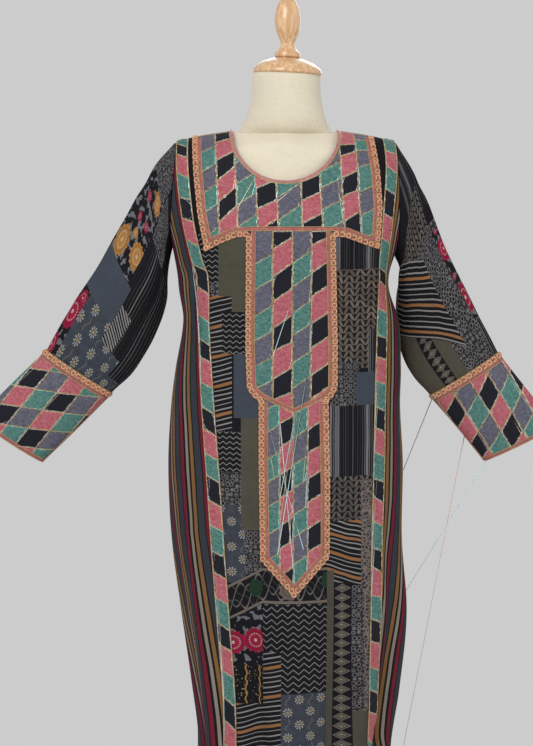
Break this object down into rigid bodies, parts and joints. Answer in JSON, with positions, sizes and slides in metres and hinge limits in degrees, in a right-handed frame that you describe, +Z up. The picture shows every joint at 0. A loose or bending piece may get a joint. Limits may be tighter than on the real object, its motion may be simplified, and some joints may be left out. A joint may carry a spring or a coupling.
{
  "type": "kandura on a dress form",
  "caption": "Long patchwork robe with round neck, long sleeves, embroidered yoke, pointed plackets, bands and cuffs, on a limbless dress form with a wooden neck cap, pole and round foot.",
  "frame": {"origin": "on the floor, in the middle of the underside of the dress form's round foot", "axes": "+Z up, -Y towards the front of the garment, +X to the right of someone who faces its front"},
  "size_m": [1.0162, 0.3577, 1.692],
  "materials": {
    "patchwork_cloth": "matt printed cotton, black and slate patches",
    "striped_cloth": "matt printed cotton, vertical stripes",
    "embroidered_cloth": "thread-filled diamonds with metallic outlines",
    "braid": "matt looped braid",
    "binding": "satin bias binding",
    "jersey": "matt stretch jersey",
    "beech": "satin lacquered beech"
  },
  "bodies": {
    "root": {"front_panel": "patchwork_cloth", "back_panel": "patchwork_cloth", "sleeve_left": "patchwork_cloth", "sleeve_right": "patchwork_cloth", "side_front_left": "striped_cloth", "side_front_right": "striped_cloth", "side_back_left": "striped_cloth", "side_back_right": "striped_cloth", "band_left": "embroidered_cloth", "band_right": "embroidered_cloth", "yoke": "embroidered_cloth", "placket_upper": "embroidered_cloth", "placket_lower": "embroidered_cloth", "cuff_left": "embroidered_cloth", "cuff_right": "embroidered_cloth", "braid_left": "braid", "braid_right": "braid", "braid_lower": "braid", "cuff_braid_left": "braid", "cuff_braid_right": "braid", "neck_binding": "binding", "form_torso": "jersey", "neck_cap": "beech", "finial": "beech", "pole": "beech", "foot": "beech"}
  },
  "joints": []
}
